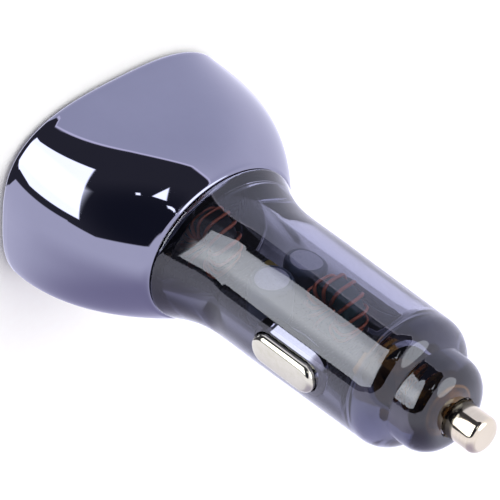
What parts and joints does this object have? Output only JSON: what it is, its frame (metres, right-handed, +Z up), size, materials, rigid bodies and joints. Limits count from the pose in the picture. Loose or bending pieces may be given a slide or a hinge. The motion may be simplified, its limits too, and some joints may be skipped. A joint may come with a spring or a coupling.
{
  "type": "car usb charger plug",
  "caption": "Car charger plug: mirror-plated oval head with ports, smoked clear round barrel showing the board, sprung nickel tip and side contacts.",
  "frame": {"origin": "centre of the head's rim, on the surface that the plug stands on", "axes": "+Z up the plug to its tip, +X along the head's long side towards the right side contact, +Y across the head"},
  "size_m": [0.0428, 0.031, 0.0751],
  "materials": {
    "plated_head": "chrome-plated moulding, mirror gloss, dark grey",
    "gloss_panel": "moulded, piano black",
    "smoked_clear": "moulded clear plastic with a grey tint, polished; its solids stand for polycarbonate",
    "nickel": "nickel plated, polished",
    "spring_bronze": "drawn bronze wire",
    "brass_stud": "turned brass",
    "spring_steel": "nickel-plated strip",
    "circuit_board": "solder mask, satin",
    "black_core": "pressed powder, satin coat",
    "green_core": "pressed powder, blue-green satin coat",
    "copper_wire": "enamelled copper wire",
    "can_sleeve": "shrunk plastic sleeve",
    "can_aluminium": "drawn aluminium",
    "fuse_yellow": "epoxy dipped",
    "chip_black": "moulded epoxy",
    "chip_ceramic": "fired ceramic with tinned ends",
    "port_steel": "nickel-plated sheet",
    "port_plastic": "moulded",
    "contact_gold": "gold-flashed strip"
  },
  "bodies": {
    "plug": {"head_shell": "plated_head", "face_panel": "gloss_panel", "barrel": "smoked_clear", "tip_spring": "spring_bronze", "terminal_stud": "brass_stud", "left_leaf": "spring_steel", "right_leaf": "spring_steel", "main_board": "circuit_board", "input_core": "black_core", "input_winding": "copper_wire", "output_core": "green_core", "output_winding": "copper_wire", "input_can": "can_sleeve", "input_can_top": "can_aluminium", "output_can": "can_sleeve", "output_can_top": "can_aluminium", "fuse": "fuse_yellow", "controller_chip": "chip_black", "power_chips": "chip_black", "chip_capacitors": "chip_ceramic", "usb_a_shell": "port_steel", "usb_a_tongue": "port_plastic", "usb_a_contacts": "contact_gold", "usb_c_shell": "port_steel", "usb_c_tongue": "port_plastic", "usb_c_contacts": "contact_gold"},
    "tip": {"tip_contact": "nickel"},
    "left_button": {"left_contact": "nickel"},
    "right_button": {"right_contact": "nickel"}
  },
  "joints": [
    {"name": "tip_press", "type": "slide", "parent": "plug", "child": "tip", "axis": [0, 0, -1], "range_m": [0, 0.0022], "stiffness_N_per_m": 1500, "springref_m": -0.001, "deforming": ["tip_spring"]},
    {"name": "left_press", "type": "slide", "parent": "plug", "child": "left_button", "axis": [1, 0, 0], "range_m": [0, 0.0012], "stiffness_N_per_m": 1500, "springref_m": -0.001, "deforming": ["left_leaf"]},
    {"name": "right_press", "type": "slide", "parent": "plug", "child": "right_button", "axis": [-1, 0, 0], "range_m": [0, 0.0012], "stiffness_N_per_m": 1500, "springref_m": -0.001, "deforming": ["right_leaf"]}
  ]
}
